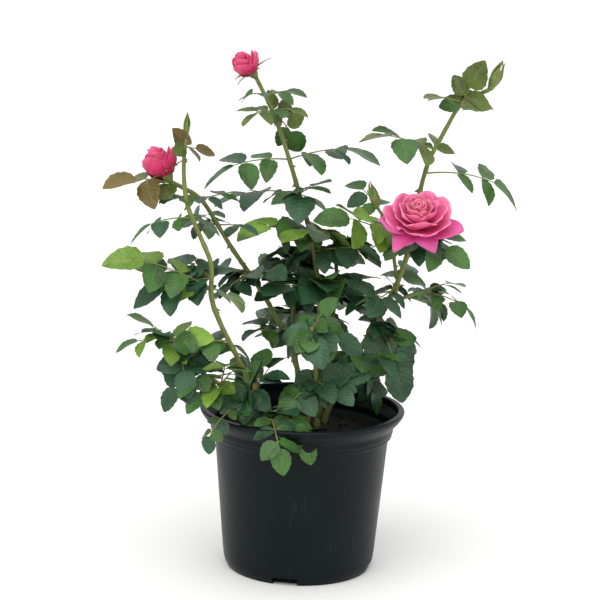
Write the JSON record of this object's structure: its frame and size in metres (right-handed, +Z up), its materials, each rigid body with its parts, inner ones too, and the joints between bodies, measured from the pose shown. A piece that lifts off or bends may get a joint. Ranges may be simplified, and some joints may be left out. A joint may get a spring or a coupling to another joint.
{
  "type": "potted rose bush",
  "caption": "Open vase-shaped shrub rose in a round nursery pot, with an open bloom, half-open flowers and green buds.",
  "frame": {"origin": "centre of the pot's flat underside, at the mount named pot_base", "axes": "+Z up, the tallest direction; -Y is the side that the open bloom leans to and the low front leaves hang on; +X to the right seen from there"},
  "size_m": [0.4559, 0.3062, 0.566],
  "materials": {
    "pot": "satin moulded polypropylene",
    "soil": "loose moist peat compost",
    "cane_bark": "smooth green bark with prickles",
    "petal": "soft velvety petals",
    "bud_green": "waxy green sepals",
    "leaf_dark": "waxy old leaves",
    "leaf_mid": "waxy full-grown leaves",
    "leaf_young": "thin light green young leaves",
    "leaf_olive": "olive leaves near the tips",
    "leaf_bronze": "bronze flushed new leaves"
  },
  "bodies": {
    "root": {"bloom_left": "petal", "bloom_open": "petal", "bloom_top": "petal", "bud_left": "bud_green", "bud_right": "bud_green", "bud_side": "bud_green", "cane_back": "cane_bark", "cane_back_leaves_lower": "leaf_dark", "cane_back_leaves_top": "leaf_dark", "cane_back_left": "cane_bark", "cane_back_left_leaves_lower": "leaf_dark", "cane_back_left_leaves_top": "leaf_dark", "cane_centre": "cane_bark", "cane_centre_leaves_arms": "leaf_mid", "cane_centre_leaves_low": "leaf_dark", "cane_centre_leaves_middle": "leaf_dark", "cane_centre_leaves_top_lower": "leaf_olive", "cane_centre_leaves_top_upper": "leaf_mid", "cane_centre_leaves_whorl": "leaf_dark", "cane_centre_leaves_young": "leaf_young", "cane_front": "cane_bark", "cane_front_leaves_low": "leaf_dark", "cane_front_leaves_top": "leaf_mid", "cane_left": "cane_bark", "cane_left_bloom": "cane_bark", "cane_left_bloom_leaves_bloom": "leaf_bronze", "cane_left_bloom_leaves_dark": "leaf_dark", "cane_left_bloom_leaves_inner": "leaf_dark", "cane_left_bloom_leaves_pair": "leaf_mid", "cane_left_bloom_leaves_round": "leaf_dark", "cane_left_leaves_behind": "leaf_dark", "cane_left_leaves_foot": "leaf_dark", "cane_left_leaves_middle": "leaf_dark", "cane_left_leaves_tip": "leaf_bronze", "cane_left_leaves_upper": "leaf_mid", "cane_left_leaves_young": "leaf_young", "cane_low_left": "cane_bark", "cane_low_left_leaves_end": "leaf_young", "cane_low_left_leaves_hanging": "leaf_mid", "cane_low_left_leaves_outer": "leaf_dark", "cane_low_left_leaves_over_rim": "leaf_mid", "cane_low_left_leaves_rim": "leaf_mid", "cane_low_left_leaves_young": "leaf_young", "cane_right": "cane_bark", "cane_right_leaves_arching": "leaf_mid", "cane_right_leaves_hanging": "leaf_dark", "cane_right_leaves_high": "leaf_olive", "cane_right_leaves_inner": "leaf_dark", "cane_right_leaves_low": "leaf_dark", "cane_right_leaves_top": "leaf_olive", "crown": "cane_bark", "pot": "pot", "shoot_open_bloom": "cane_bark", "shoot_open_bloom_leaves_whorl": "leaf_mid", "shoot_right": "cane_bark", "shoot_right_leaves_end": "leaf_mid", "shoot_side_bud": "cane_bark", "shoot_side_bud_leaves_lower": "leaf_young", "shoot_side_bud_leaves_upper": "leaf_mid", "soil": "soil"}
  },
  "joints": []
}
